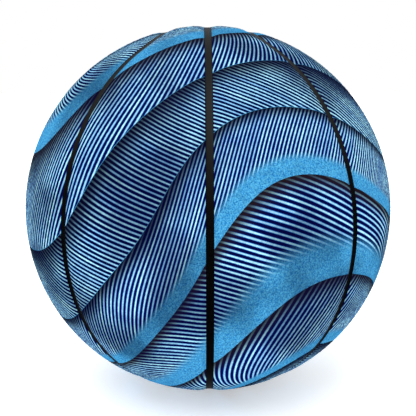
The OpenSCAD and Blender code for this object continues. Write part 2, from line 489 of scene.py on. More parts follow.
class Graph:
    """Short calls that place and link shader nodes in one tree."""

    def __init__(self, tree: bpy.types.NodeTree) -> None:
        """Keeps the tree that the calls add to."""
        self.tree = tree

    def feed(self, node: bpy.types.Node, feeds: Feeds) -> None:
        """Links a node's inputs to other sockets, or sets their own values.

        Args:
            node: The node.
            feeds: What goes into each input, by the input's name or number.
        """
        for key, value in feeds.items():
            if isinstance(value, Socket):
                self.tree.links.new(value, node.inputs[key])
            else:
                node.inputs[key].default_value = value

    def node(self, kind: str, feeds: Feeds | None = None, **settings: object) -> bpy.types.Node:
        """Places a node, sets its properties and feeds its inputs.

        Args:
            kind: Blender's name for the kind of node.
            feeds: What goes into each input, by the input's name or number.
            **settings: The node's properties.

        Returns:
            The node.
        """
        made = self.tree.nodes.new(kind)
        for name, value in settings.items():
            setattr(made, name, value)
        self.feed(made, feeds or {})
        return made

    def math(self, operation: str, *values: Feed) -> Socket:
        """Result of a Math node."""
        return self.node("ShaderNodeMath", dict(enumerate(values)), operation=operation).outputs[0]

    def vector(self, operation: str, *values: Feed) -> Socket:
        """Vector from a Vector Math node."""
        made = self.node("ShaderNodeVectorMath", dict(enumerate(values)), operation=operation)
        return made.outputs["Vector"]

    def dot(self, first: Feed, second: Feed) -> Socket:
        """Dot product of two vectors."""
        made = self.node("ShaderNodeVectorMath", {0: first, 1: second}, operation="DOT_PRODUCT")
        return made.outputs["Value"]

    def combine(self, x: Feed, y: Feed, z: Feed) -> Socket:
        """Vector made of three numbers."""
        return self.node("ShaderNodeCombineXYZ", {"X": x, "Y": y, "Z": z}).outputs[0]

    def between(self, kind: MixKind, factor: Feed, first: Feed, second: Feed) -> Socket:
        """Places a Mix node.

        Args:
            kind: What it mixes.
            factor: 0 for the first value alone, and 1 for the second alone.
            first: The first value.
            second: The second value.

        Returns:
            The value between them.
        """
        data_type, a, b, result = kind.value
        feeds = {"Factor": factor, a: first, b: second}
        return self.node("ShaderNodeMix", feeds, data_type=data_type).outputs[result]

    def mix(self, factor: Feed, first: Feed, second: Feed) -> Socket:
        """Colour between two colours."""
        return self.between(MixKind.COLOURS, factor, first, second)

    def blend(self, factor: Feed, first: Feed, second: Feed) -> Socket:
        """Number between two numbers."""
        return self.between(MixKind.NUMBERS, factor, first, second)

    def ease(self, value: Feed, span: Sequence[Feed]) -> Socket:
        """Smooth step from 0 at the span's first number to 1 at its second."""
        feeds = {"Value": value, "From Min": span[0], "From Max": span[1]}
        return self.node("ShaderNodeMapRange", feeds, interpolation_type="SMOOTHSTEP").outputs[0]

    def ramp(self, value: Feed, span: Sequence[Feed], top: float) -> Socket:
        """Smooth step from 0 at the span's first number to a top at its second."""
        return self.math("MULTIPLY", self.ease(value, span), top)

    def ripple(self, angle: Feed) -> Socket:
        """Wave of an angle: half its cosine and a half, which runs from 0 to 1."""
        return self.math("MULTIPLY_ADD", self.math("COSINE", angle), 0.5, 0.5)

    def noise(self, place: Feed, scale: Feed, detail: float = 2.0) -> Socket:
        """Soft noise from 0 to 1."""
        feeds = {"Vector": place, "Scale": scale, "Detail": detail}
        return self.node("ShaderNodeTexNoise", feeds).outputs["Fac"]

    def drift(self, place: Feed, scale: float, reach: float) -> Socket:
        """A place moved about by soft noise.

        Args:
            place: The place.
            scale: Scale of the noise.
            reach: Twice the furthest move each way.

        Returns:
            The moved place.
        """
        feeds = {"Vector": place, "Scale": scale, "Detail": 0.0}
        stir = self.node("ShaderNodeTexNoise", feeds).outputs["Color"]
        shift = self.vector("MULTIPLY_ADD", stir, (reach,) * 3, (-reach / 2,) * 3)
        return self.vector("ADD", place, shift)

    def chance(self, number: Feed, draw: Draw) -> Socket:
        """Steady random number from 0 to 1 for each whole number."""
        feeds = {"Vector": self.combine(number, draw.value, 0.0)}
        return self.node("ShaderNodeTexWhiteNoise", feeds, noise_dimensions="2D").outputs["Value"]

    def bump(self, height: Feed, strength: float, distance: float) -> Socket:
        """Normal tilted by a height."""
        feeds = {"Height": height, "Strength": strength, "Distance": distance}
        return self.node("ShaderNodeBump", feeds).outputs["Normal"]

    def grain(self, place: Feed, fine: float, slow: float) -> bpy.types.bpy_prop_collection:
        """Outputs of the shared grain group, placed with its own scales."""
        feeds = {"Place": place, "Fine": fine, "Slow": slow}
        return self.node("ShaderNodeGroup", feeds, node_tree=Grain.tree()).outputs

    def attribute(self, name: str) -> Socket:
        """A number kept on the vertices."""
        return self.node("ShaderNodeAttribute", attribute_name=name).outputs["Fac"]

    def object_place(self) -> Socket:
        """Object coordinates, in metres."""
        return self.node("ShaderNodeTexCoord").outputs["Object"]


class Grain:
    """Shader group of fine moulded grain and slow mottling, for every rubber and the cover."""

    NAME = "moulded_grain"
    INPUTS = {"Place": "NodeSocketVector", "Fine": "NodeSocketFloat", "Slow": "NodeSocketFloat"}
    OUTPUTS = ("Height", "Mottle")
    FINE_DETAIL = 3.0
    SLOW_DETAIL = 4.0
    FINE_IN_HEIGHT = 0.4
    FINE_IN_MOTTLE = 0.25

    @classmethod
    def tree(cls) -> bpy.types.NodeTree:
        """The group, built on the first call.

        Height is fine noise laid over small cells. Mottle is slow noise with a little fine noise.

        Returns:
            The group's node tree.
        """
        found = bpy.data.node_groups.get(cls.NAME)
        if found:
            return found
        tree = bpy.data.node_groups.new(cls.NAME, "ShaderNodeTree")
        for name, kind in cls.INPUTS.items():
            tree.interface.new_socket(name=name, in_out="INPUT", socket_type=kind)
        for name in cls.OUTPUTS:
            tree.interface.new_socket(name=name, in_out="OUTPUT", socket_type="NodeSocketFloat")
        net = Graph(tree)
        entry = net.node("NodeGroupInput").outputs
        fine = net.noise(entry["Place"], entry["Fine"], cls.FINE_DETAIL)
        slow = net.noise(entry["Place"], entry["Slow"], cls.SLOW_DETAIL)
        feeds = {"Vector": entry["Place"], "Scale": entry["Fine"]}
        cells = net.node("ShaderNodeTexVoronoi", feeds, feature="SMOOTH_F1").outputs["Distance"]
        height = net.blend(cls.FINE_IN_HEIGHT, cells, fine)
        mottle = net.blend(cls.FINE_IN_MOTTLE, slow, fine)
        net.node("NodeGroupOutput", {"Height": height, "Mottle": mottle})
        return tree


def blank_material(name: str) -> tuple[bpy.types.Material, Graph, bpy.types.Node]:
    """Starts a material with a Principled shader.

    Args:
        name: Name of the material.

    Returns:
        The material, its graph and the shader node.
    """
    material = bpy.data.materials.new(name)
    material.use_nodes = True
    material.node_tree.nodes.clear()
    net = Graph(material.node_tree)
    shader = net.node("ShaderNodeBsdfPrincipled")
    net.node("ShaderNodeOutputMaterial", {"Surface": shader.outputs["BSDF"]})
    return material, net, shader


@dataclass(frozen=True)
class CoverPrint:
    """Printed cover: wave bands of slanted pinstripes in blues, on lacquered synthetic leather.

    It reads two numbers kept on the panels' vertices: how far up a pebble a vertex lies, and its
    share of the painted shade along a rim and down a wall into the seams. A name that ends in
    span gives where a smooth step starts and ends.
    """

    RELIEF = "relief"
    RIM_SHADE = "rim"

    # Bands: their axis's tilt, and each wave's height, count round the axis and start
    bands: int = 8
    tilt: tuple[float, float, float] = (math.radians(14), math.radians(24), 0.0)
    waves: tuple[tuple[float, float, float], ...] = ((0.5, 2.0, 0.9), (0.26, 3.0, 2.2))
    drift_scale: float = 1.3
    drift_reach: float = 0.16

    # Stripes: the least lean and ink, each with the range that is added to it
    pitch: Span = (2.2 * MM, 3.0 * MM)
    lean: float = 0.5
    lean_range: float = 0.5
    uneven_scale: float = 9.0
    uneven: float = 0.4
    ink: float = 0.55
    ink_range: float = 0.45
    middle_span: Span = (0.44, 0.64)
    light_span: Span = (0.66, 0.94)

    # Plain edges, as a share of the band, and the factor and length that give where they end
    edge_span: Span = (0.35, 0.8)
    edge_share: float = 0.36
    edge_fade: Span = (1.7, 0.01)
    weave_scale: float = 1400.0
    weave_span: Span = (0.32, 0.68)

    # Shadow of the next band, dark clouds, and painted shade in the pebbles' grooves and on the
    # rims and walls down into the seams
    under_start: Span = (0.5, 0.92)
    under_ink: float = 0.95
    umber_span: Span = (0.5, 0.9)
    cloud_scale: float = 1.9
    cloud_span: Span = (0.55, 0.33)
    cloud_ink: float = 0.62
    groove_shade_span: Span = (0.45, 0.0)
    groove_shade_strength: float = 0.22
    rim_shade_span: Span = (0.2, 0.6)
    rim_shade_strength: float = 0.94

    navy: Colour = srgb(1, 0, 42)
    indigo: Colour = srgb(3, 6, 86)
    azure: Colour = srgb(20, 102, 192)
    pale: Colour = srgb(178, 237, 240)
    plain: Colour = srgb(27, 111, 174)
    bright: Colour = srgb(82, 168, 210)
    shadow: Colour = srgb(4, 3, 24)
    umber: Colour = srgb(28, 19, 17)

    fine: float = 2600.0
    slow: float = 35.0
    bump: float = 0.12
    bump_depth: float = 0.05 * MM
    roughness: float = 0.55
    rough_range: float = 0.16
    lacquer: float = 0.015
    lacquer_roughness: float = 0.4

    def make(self, sizes: BallSizes) -> bpy.types.Material:
        """Builds the material.

        Every band has its own stripes. One of its edges may be plain and fades into the stripes,
        and the other falls into the shadow of the next band.

        Args:
            sizes: The ball's sizes.

        Returns:
            The finished material.
        """
        material, net, shader = blank_material("cover_print")
        place = net.object_place()
        ball = net.vector("NORMALIZE", place)
        band, across, rise, bearing = self.lay_bands(net, ball)
        draws = (Draw.TONE, Draw.SLANT, Draw.WIDTH, Draw.EDGE)
        tone, slant, width, edge = (net.chance(band, draw) for draw in draws)
        stripe, ink = self.stripes(net, band, rise, bearing, slant, width, sizes)
        dark = net.mix(tone, self.navy, self.indigo)
        lines = net.mix(net.ease(stripe, self.middle_span), dark, self.azure)
        lit = net.math("MULTIPLY", net.ease(stripe, self.light_span), ink)
        lines = net.mix(lit, lines, self.pale)

        weave = net.ease(net.noise(place, self.weave_scale), self.weave_span)
        plain_edge = net.ramp(edge, self.edge_span, self.edge_share)
        faded = net.math("MULTIPLY_ADD", plain_edge, *self.edge_fade)
        plain = net.math("SUBTRACT", 1.0, net.ease(across, (plain_edge, faded)))
        colour = net.mix(plain, lines, net.mix(weave, self.plain, self.bright))

        below = net.mix(net.ease(width, self.umber_span), self.shadow, self.umber)
        under = net.ramp(across, (net.blend(edge, *self.under_start), 1.0), self.under_ink)
        colour = net.mix(under, colour, below)
        cloud = net.ramp(net.noise(ball, self.cloud_scale), self.cloud_span, self.cloud_ink)
        colour = net.mix(cloud, colour, self.navy)
        # Painted shade: the grooves between pebbles are darkened toward the shadow colour
        painted_groove_shade = net.ramp(net.attribute(self.RELIEF), self.groove_shade_span, self.groove_shade_strength)
        # Painted shade: rims and walls that go down into the seams are darkened toward the shadow
        # colour
        rim = net.ramp(net.attribute(self.RIM_SHADE), self.rim_shade_span, self.rim_shade_strength)
        colour = net.mix(net.math("MAXIMUM", painted_groove_shade, rim), colour, self.shadow)

        grain = net.grain(place, self.fine, self.slow)
        least = self.roughness - self.rough_range / 2
        net.feed(shader, {
            "Base Color": colour,
            "Roughness": net.math("MULTIPLY_ADD", grain["Mottle"], self.rough_range, least),
            "Normal": net.bump(grain["Height"], self.bump, self.bump_depth),
            "Specular IOR Level": 0.0,
            "Coat Weight": self.lacquer,
            "Coat Roughness": self.lacquer_roughness,
        })
        return material

    def lay_bands(self, net: Graph, ball: Feed) -> tuple[Socket, ...]:
        """Cuts the ball into bands.

        The ball is turned to a tilted axis and cut by the rise from that axis's middle, moved up
        and down by sine waves of the bearing that die out at the axis's ends.

        Args:
            net: The material's graph.
            ball: Direction from the ball's centre.

        Returns:
            The band's number, how far across it a place lies, the rise and the bearing.
        """
        moved = net.vector("NORMALIZE", net.drift(ball, self.drift_scale, self.drift_reach))
        feeds = {"Vector": moved, "Rotation": self.tilt}
        turned = net.node("ShaderNodeMapping", feeds, vector_type="POINT").outputs["Vector"]
        x, y, z = net.node("ShaderNodeSeparateXYZ", {0: turned}).outputs
        rise = net.math("ARCSINE", z)
        bearing = net.math("ARCTAN2", y, x)
        waves: Feed = 0.0
        for height, count, start in self.waves:
            wave = net.math("SINE", net.math("MULTIPLY_ADD", bearing, count, start))
            waves = net.math("MULTIPLY_ADD", wave, height, waves)
        level = net.math("SUBTRACT", 1.0, net.math("MULTIPLY", z, z))
        moves = net.math("MULTIPLY", waves, level)
        flow = net.math("MULTIPLY_ADD", rise, self.bands / math.pi, moves)
        band = net.math("FLOOR", flow)
        return band, net.math("SUBTRACT", flow, band), rise, bearing

    def stripes(
        self, net: Graph, band: Feed, rise: Feed, bearing: Feed, slant: Feed, width: Feed,
        sizes: BallSizes,
    ) -> tuple[Socket, Socket]:
        """Slanted lines at an even pitch inside a band, slanted the other way in the next one.

        The line number grows with the bearing, by a whole number of lines for the whole turn, and
        with the rise. At the two ends of the axis it grows with the rise alone, which gives
        rings. Noise changes the lines' thickness.

        Args:
            net: The material's graph.
            band: The band's number.
            rise: Angle above the middle of the tilted axis.
            bearing: Angle round that axis.
            slant: Random number that picks the lines' slant.
            width: Random number that picks their pitch.
            sizes: The ball's sizes.

        Returns:
            How far into a light line a place lies, and how bright that line is.
        """
        pitch = net.blend(width, *self.pitch)
        step = math.pi / self.bands
        lean = net.math("MULTIPLY_ADD", slant, self.lean_range, self.lean)
        centred = net.math("ABSOLUTE", net.math("ADD", band, 0.5))
        at_end = net.math("GREATER_THAN", centred, self.bands / 2 - 1.0)
        lean = net.blend(at_end, lean, QUARTER)
        middle = net.math("MULTIPLY_ADD", band, step, 0.5 * step)
        around = net.math("MULTIPLY", net.math("COSINE", middle), TURN * sizes.radius)
        crossed = net.math("MULTIPLY", around, net.math("COSINE", lean))
        lines = net.math("ROUND", net.math("DIVIDE", crossed, pitch))
        side = net.math("MULTIPLY_ADD", net.math("FLOORED_MODULO", band, 2.0), -2.0, 1.0)
        climb = net.math("MULTIPLY", net.math("SINE", lean), sizes.radius)
        climb = net.math("MULTIPLY", side, net.math("DIVIDE", climb, pitch))
        number = net.math("MULTIPLY", net.math("MULTIPLY", lines, 1 / TURN), bearing)
        number = net.math("MULTIPLY_ADD", climb, rise, number)
        wave = net.ripple(net.math("MULTIPLY", number, TURN))
        uneven = net.noise(net.combine(bearing, rise, band), self.uneven_scale)
        uneven = net.math("MULTIPLY_ADD", uneven, self.uneven, -self.uneven / 2)
        drawn = net.chance(net.math("ROUND", number), Draw.INK)
        ink = net.math("MULTIPLY_ADD", drawn, self.ink_range, self.ink)
        return net.math("ADD", wave, uneven), ink


@dataclass(frozen=True)
class RubberFinish:
    """Black or grey moulded rubber with fine grain, a thin satin skin and a dusty bloom."""

    name: str
    colour: Colour
    worn: Colour
    roughness: float
    skin: float
    bloom: float
    fine: float
    slow: float
    depth: float
    mottle_span: Span = (0.35, 0.7)
    speck_span: Span = (0.3, 0.62)
    speck_share: float = 0.6
    rough_range: float = 0.14
    bump: float = 0.35
    bloom_roughness: float = 0.27
    bloom_tint: Colour = srgb(196, 204, 218)

    def make(self) -> bpy.types.Material:
        """Builds the material: two tones by mottling, with roughness and bump from the grain.

        Returns:
            The finished material.
        """
        material, net, shader = blank_material(self.name)
        grain = net.grain(net.object_place(), self.fine, self.slow)
        mottle = net.ease(grain["Mottle"], self.mottle_span)
        speck = net.ease(grain["Height"], self.speck_span)
        tone = net.blend(self.speck_share, mottle, speck)
        net.feed(shader, {
            "Base Color": net.mix(tone, self.colour, self.worn),
            "Roughness": net.math("MULTIPLY_ADD", mottle, self.rough_range, self.roughness),
            "Normal": net.bump(grain["Height"], self.bump, self.depth),
            "Specular IOR Level": 0.0,
            "Coat Weight": self.skin,
            "Coat Roughness": self.roughness,
            "Sheen Weight": self.bloom,
            "Sheen Roughness": self.bloom_roughness,
            "Sheen Tint": self.bloom_tint,
        })
        return material


@dataclass(frozen=True)
class ThreadFinish:
    """Nylon thread wound round the bladder in many directions."""

    pale: Colour = srgb(228, 224, 208)
    gap: Colour = srgb(120, 112, 98)
    thread: float = 0.9 * MM
    axes: tuple[tuple[float, float, float], ...] = (
        (0.3, 0.2, 0.93), (0.88, -0.35, 0.3), (-0.4, 0.86, 0.3)
    )
    drift_scale: float = 3.0
    drift_reach: float = 0.12
    patch_scale: float = 9.0
    patch_detail: float = 1.0
    patch_shift: float = 7.0
    patch_span: Span = (0.45, 0.55)
    bump: float = 0.8
    bump_depth: float = 0.3 * MM
    roughness: float = 0.75
    rough_range: float = -0.2

    def make(self, sizes: BallSizes) -> bpy.types.Material:
        """Builds the material.

        Each winding is a set of circles at an even pitch about its own axis, bent by slow noise,
        and the windings take turns on top where slow noise says.

        Args:
            sizes: The ball's sizes.

        Returns:
            The finished material.
        """
        material, net, shader = blank_material("nylon_thread")
        ball = net.vector("NORMALIZE", net.object_place())
        spot = net.vector("NORMALIZE", net.drift(ball, self.drift_scale, self.drift_reach))
        height: Feed = 0.0
        for number, axis in enumerate(self.axes):
            angle = net.math("ARCCOSINE", net.dot(spot, tuple(unit(np.array(axis)))))
            strand = net.ripple(net.math("MULTIPLY", angle, TURN * sizes.radius / self.thread))
            shifted = net.vector("ADD", spot, (self.patch_shift * number, 0.0, 0.0))
            patch = net.noise(shifted, self.patch_scale, self.patch_detail)
            seen = net.math("MULTIPLY", strand, net.ease(patch, self.patch_span))
            height = net.math("MAXIMUM", height, seen)
        net.feed(shader, {
            "Base Color": net.mix(height, self.gap, self.pale),
            "Normal": net.bump(height, self.bump, self.bump_depth),
            "Roughness": net.math("MULTIPLY_ADD", height, self.rough_range, self.roughness),
        })
        return material


class PanelKind(Enum):
    """The two outlines of cover panel."""

    CENTRE = "between the centre seam and a loop"
    SIDE = "inside a loop"


@dataclass(frozen=True)
class Panel:
    """One cover panel, as a mirror image of the front right one of its kind."""

    name: str
    kind: PanelKind
    mirror: Signs
    valve: bool = False


@dataclass
class Cover:
    """The eight printed panels, with edges rolled down into the seams and pebbled faces."""

    sizes: BallSizes
    seams: SeamPlan
    finish: CoverPrint = CoverPrint()
    pebbles: Pebbles = Pebbles()
    across: int = 140
    along: int = 560
    ratio: int = 5
    edge_round: float = 0.45 * MM
    edge_rows: int = 5
    roll_width: float = 7.2 * MM
    roll_drop: float = 0.85 * MM
    corner_cut: float = 0.8 * MM
    valve_hole: float = 4.5 * MM
    valve_roll: float = 3.0 * MM
    valve_drop: float = 0.25 * MM
    valve_block: int = 30
    valve_rows: int = 8

    QUICK = {"across": 70, "along": 280, "valve_block": 20}
    PANELS = (
        Panel("panel_front_left", PanelKind.CENTRE, (-1, 1, 1)),
        Panel("panel_front_right", PanelKind.CENTRE, (1, 1, 1)),
        Panel("panel_back_left", PanelKind.CENTRE, (-1, -1, 1)),
        Panel("panel_back_right", PanelKind.CENTRE, (1, -1, 1), valve=True),
        Panel("side_panel_left_front", PanelKind.SIDE, (-1, 1, 1)),
        Panel("side_panel_left_back", PanelKind.SIDE, (-1, -1, 1)),
        Panel("side_panel_right_front", PanelKind.SIDE, (1, 1, 1)),
        Panel("side_panel_right_back", PanelKind.SIDE, (1, -1, 1)),
    )

    @property
    def valve_way(self) -> np.ndarray:
        """Direction of the valve, mirrored to the front right."""
        return self.sizes.valve_axis * FRONT_RIGHT

    def build(self) -> None:
        """Builds and dresses every panel."""
        material = self.finish.make(self.sizes)
        for panel in self.PANELS:
            fit(self.panel(panel), material, panel.name)

    def directions(self, kind: PanelKind) -> np.ndarray:
        """Grid of directions over a panel: straight crossings from its left edge to its right.

        Args:
            kind: Which outline.

        Returns:
            Unit vectors, first axis across to the right and second axis up.
        """
        inset = self.sizes.angle(self.sizes.wall_half + self.edge_round)
        v = np.linspace(-1, 1, self.along + 1)
        u = np.linspace(0, 1, self.across + 1)[:, None, None]
        if kind is PanelKind.CENTRE:
            left = self.seams.centre_edge(v, inset)
            right = self.seams.loop_edge(v, -inset, inset)
        else:
            cut = self.corner_cut / self.sizes.radius
            left = self.seams.loop_edge(v, inset, inset, cut)
            right = self.seams.girth_edge(v, inset, cut)
        return unit(left * (1 - u) + right * u)

    def surface(self, panel: Panel, ways: np.ndarray) -> tuple[np.ndarray, np.ndarray]:
        """Radius and relief of a panel's face.

        The edge roll falls with the square of the distance inside its width, nearby edges are
        joined by the cube root of their summed cubes, and pebbles are added where the roll ends.

        Args:
            panel: The panel.
            ways: Unit vectors at the front right.

        Returns:
            One radius for each direction, and how far up a pebble it lies, from 0 to 1.
        """
        loop = self.seams.loop_depth(ways)
        girth = np.arcsin(np.abs(ways[..., 1]))
        if panel.kind is PanelKind.CENTRE:
            angles = np.stack([np.arcsin(np.abs(ways[..., 0])), girth, -loop])
        else:
            angles = np.stack([girth, loop])
        inside = angles * self.sizes.radius - self.sizes.wall_half
        near = np.clip(1 - inside / self.roll_width, 0, 1)
        drop = self.roll_drop * (near**3).sum(0) ** (2 / 3)
        clear = inside.min(0)
        if panel.valve:
            angle = np.arccos(np.clip(ways @ self.valve_way, -1, 1))
            rim = angle * self.sizes.radius - self.valve_hole
            drop = drop + self.valve_drop * np.clip(1 - rim / self.valve_roll, 0, 1) ** 2
            clear = np.minimum(clear, rim)
        fade = np.clip(clear / self.pebbles.fade, 0, 1) ** 2
        places = ways * np.array(panel.mirror) * self.sizes.radius
        relief = fade * self.pebbles.heights(places)
        return self.sizes.radius - drop - self.pebbles.height * (1 - relief), relief

    def edge(
        self, shell: Shell, ring: np.ndarray, ways: np.ndarray, radii: np.ndarray,
        ink: np.ndarray, lean: float,
    ) -> np.ndarray:
        """Rounds a ring over into a wall down to the panel's back: an arc carried along the ring.

        Args:
            shell: The panel's shell.
            ring: Vertex numbers of the ring.
            ways: The ring's directions.
            radii: The ring's radii.
            ink: 1 where painted shade darkens the rounding, and 0 where the print runs on over it.
            lean: Slope of the face where it meets the ring, in radians.

        Returns:
            Vertex numbers of the wall's lower edge.
        """
        step = np.roll(ways, -1, 0) - ways
        out = unit(np.cross(step, ways))
        before = np.roll(out, 1, 0)
        mitre = (out + before) / (1 + (out * before).sum(1, keepdims=True))
        bend = self.edge_round / (1 - math.sin(lean))
        for share in np.linspace(0, 1, self.edge_rows + 1)[1:]:
            turn = lean + (QUARTER - lean) * share
            reach = bend * (math.sin(turn) - math.sin(lean)) / self.sizes.radius
            fall = bend * (math.cos(lean) - math.cos(turn))
            outward = unit(ways + mitre * reach)
            # Painted shade: the rounding darkens as it turns down into the seam
            after = shell.add(outward * (radii - fall)[:, None], share * ink)
            shell.band(ring, after)
            ring = after
        # Painted shade: the wall's foot takes the full painted shade of the recess
        lower = shell.add(outward * self.sizes.back, 1.0)
        shell.band(ring, lower)
        return lower

    @staticmethod
    def outline(grid: np.ndarray) -> np.ndarray:
        """A grid's border, each row once, as a ring that runs anticlockwise, from outside."""
        sides = [grid[:-1, 0], grid[-1, :-1], grid[:0:-1, -1], grid[0, :0:-1]]
        return np.concatenate(sides)

    @classmethod
    def opening(cls, grid: np.ndarray) -> np.ndarray:
        """A grid's border as a ring that runs clockwise, for a hole of that shape."""
        return np.roll(cls.outline(grid)[::-1], 1, 0)

    def panel(self, panel: Panel) -> bpy.types.Object:
        """Builds a closed panel: pebbled face, rounded edge, wall and a plainer back.

        Args:
            panel: The panel.

        Returns:
            Its object.
        """
        ways = self.directions(panel.kind)
        radii, relief = self.surface(panel, ways)
        shell = Shell()
        face = shell.add(ways * radii[..., None])
        # The hidden back takes the full painted shade
        back = shell.add(ways[:: self.ratio, :: self.ratio] * self.sizes.back, 1.0)
        slope = 2 * self.roll_drop / self.roll_width
        lean = math.atan(slope * (1 - self.edge_round / self.roll_width))
        # Painted shade: the centre panels' rounded edge along the centre seam is darkened like the
        # seam's recess
        ink = np.zeros_like(radii)
        if panel.kind is PanelKind.CENTRE:
            ink[0] = 1.0
        lower = self.edge(shell, *map(self.outline, (face, ways, radii, ink)), lean)
        shell.step_down(lower, self.outline(back))
        keep = np.ones((self.across, self.along), bool)
        keep_back = np.ones((self.across // self.ratio, self.along // self.ratio), bool)
        if panel.valve:
            starts = self.valve_window(ways)
            cells = tuple(slice(n, n + self.valve_block) for n in starts)
            behind = tuple(slice(c.start // self.ratio, c.stop // self.ratio) for c in cells)
            keep[cells] = False
            keep_back[behind] = False
            window, hole = (tuple(slice(c.start, c.stop + 1) for c in s) for s in (cells, behind))
            lower = self.valve_rim(
                shell, panel, self.opening(face[window]), self.opening(ways[window])
            )
            shell.step_down(lower, self.opening(back[hole]))
        shell.grid(face, keep)
        shell.grid(back[::-1], keep_back[::-1])
        piece = shell.to_object("cover_" + panel.name, panel.mirror)
        heights = np.ones(shell.count, np.float32)
        heights[face.ravel()] = relief.ravel()
        # The rim attribute holds the painted shade of the rims and walls
        kept = {self.finish.RELIEF: heights, self.finish.RIM_SHADE: np.concatenate(shell.rim_shades)}
        for name, values in kept.items():
            piece.data.attributes.new(name, "FLOAT", "POINT").data.foreach_set("value", values)
        return piece

    def valve_window(self, ways: np.ndarray) -> list[int]:
        """Where the block of cells round the valve's hole starts, in steps of the coarser back.

        Args:
            ways: The panel's directions.

        Returns:
            First row across and first row up.
        """
        nearest = np.unravel_index(np.argmax(ways @ self.valve_way), ways.shape[:2])
        return [int(round((n - self.valve_block / 2) / self.ratio)) * self.ratio for n in nearest]

    def valve_rim(
        self, shell: Shell, panel: Panel, ring: np.ndarray, ways: np.ndarray
    ) -> np.ndarray:
        """Draws a square opening in to the valve's round hole and rounds its rim.

        Each ring lies part of the way from the square's distance to the hole's, along the same
        bearing.

        Args:
            shell: The panel's shell.
            panel: The panel.
            ring: Vertex numbers round the square opening.
            ways: Directions of those vertices.

        Returns:
            Vertex numbers of the hole's lower edge.
        """
        centre = self.valve_way
        angle = np.arccos(np.clip(ways @ centre, -1, 1))[:, None]
        side = unit(ways - (ways @ centre)[:, None] * centre)
        goal = (self.valve_hole + self.edge_round) / self.sizes.radius
        for share in np.linspace(0, 1, self.valve_rows + 1)[1:]:
            reach = angle + (goal - angle) * share
            around = np.cos(reach) * centre + np.sin(reach) * side
            radii, _ = self.surface(panel, around)
            after = shell.add(around * radii[:, None])
            shell.band(ring, after)
            ring = after
        lean = math.atan(2 * self.valve_drop / self.valve_roll)
        # Painted shade: the valve hole's rounded rim is darkened all round
        return self.edge(shell, ring, around, radii, np.ones_like(radii), lean)


@dataclass(frozen=True)
class StripRun:
    """One seam strip: a turn about an axis, mirrored from the right, front or upper one."""

    name: str
    axis: np.ndarray
    start: np.ndarray
    polar: float
    first: float
    last: float
    mirror: Signs = (1, 1, 1)

    ROUNDING = 1e-6

    @property
    def closed(self) -> bool:
        """True for a whole turn."""
        return self.last - self.first > TURN - self.ROUNDING


@dataclass
class SeamStrips:
    """The black rubber strips at the bottom of the seams."""

    sizes: BallSizes
    seams: SeamPlan
    finish: RubberFinish = RubberFinish(
        name="seam_rubber", colour=srgb(1, 1, 1), worn=srgb(6, 6, 7), roughness=0.42,
        skin=0.25, bloom=0.18, fine=1500.0, slow=60.0, depth=0.05 * MM,
    )
    step: float = 1.0 * MM
    least_steps: int = 8
    face_points: int = 17
    base_points: int = 5
    hollow: float = 0.18 * MM
    hollow_level: float = 0.3

    def runs(self) -> list[StripRun]:
        """The plan of every strip, from the same angles as the part's source.

        Returns:
            One run for each strip.
        """
        plan, sizes = self.seams, self.sizes
        x, y, z = np.eye(3)
        wall = sizes.angle(sizes.wall_half)
        gap = wall - sizes.angle(sizes.strip_half)
        butt = wall + gap
        along, turn, length = plan.side_turn - gap, plan.end_turn, plan.loop_half_length
        polar = plan.end_angle - sizes.angle(sizes.loop_step)
        made = [StripRun("strip_centre_ring", x, z, QUARTER, 0.0, TURN)]
        for side, sx in (("left", -1), ("right", 1)):
            for place, sy in (("front", 1), ("back", -1)):
                made.append(StripRun(
                    f"strip_loop_{side}_{place}", plan.side_pole, plan.side_middle,
                    QUARTER, -along, along, (sx, sy, 1),
                ))
            for place, sz in (("top", 1), ("bottom", -1)):
                made.append(StripRun(
                    f"strip_loop_{side}_{place}", plan.end_pole, plan.end_way,
                    polar, -turn, turn, (sx, 1, sz),
                ))
                made.append(StripRun(
                    f"strip_bridge_{place}_{side}", -y, x,
                    QUARTER, length + butt, QUARTER - butt, (sx, 1, sz),
                ))
            made.append(StripRun(
                f"strip_side_{side}", -y, x,
                QUARTER, butt - length, length - butt, (sx, 1, 1),
            ))
        return made

    def profile(self) -> np.ndarray:
        """Section of a strip.

        Its face is a shallow hollow that rises with the fourth power of the distance from its
        middle, and its base is flat.

        Returns:
            Rows of distance across and radius, all round the section.
        """
        half = self.sizes.strip_half
        across = np.sin(np.linspace(-1, 1, self.face_points) * QUARTER)
        radii = self.sizes.strip_out + self.hollow * (across**4 - self.hollow_level)
        below = np.linspace(1, -1, self.base_points) * half
        face = np.stack([across * half, radii], 1)
        base = np.stack([below, np.full(self.base_points, self.sizes.back)], 1)
        return np.concatenate([face, base])

    def strip(self, run: StripRun) -> bpy.types.Object:
        """Builds one strip: its section carried along the seam, with closed ends.

        Args:
            run: The strip's plan.

        Returns:
            Its object.
        """
        profile = self.profile()
        polar = (run.polar + profile[:, 0] / self.sizes.radius)[None, :, None]
        length = (run.last - run.first) * math.sin(run.polar) * self.sizes.radius
        count = max(self.least_steps, int(round(length / self.step)))
        turns = np.linspace(run.first, run.last, count + 1)[:, None, None]
        if run.closed:
            turns = turns[:-1]
        side = np.cross(run.axis, run.start)
        around = np.cos(turns) * run.start + np.sin(turns) * side
        ways = np.cos(polar) * run.axis + np.sin(polar) * around
        rows = ways * profile[None, :, 1, None]
        shell = Shell()
        numbers = shell.add(rows)
        ahead = np.roll(numbers, -1, 0) if run.closed else numbers[1:]
        here = numbers if run.closed else numbers[:-1]
        faces = np.stack([np.roll(here, -1, 1), np.roll(ahead, -1, 1), ahead, here], -1)
        shell.quads.append(faces.reshape(-1, 4))
        if not run.closed:
            shell.cap(numbers[0], rows[0].mean(0))
            shell.cap(numbers[-1][::-1], rows[-1].mean(0))
        return shell.to_object("seam_" + run.name, run.mirror)

    def build(self) -> None:
        """Builds and dresses every strip."""
        material = self.finish.make()
        for run in self.runs():
            fit(self.strip(run), material, run.name)


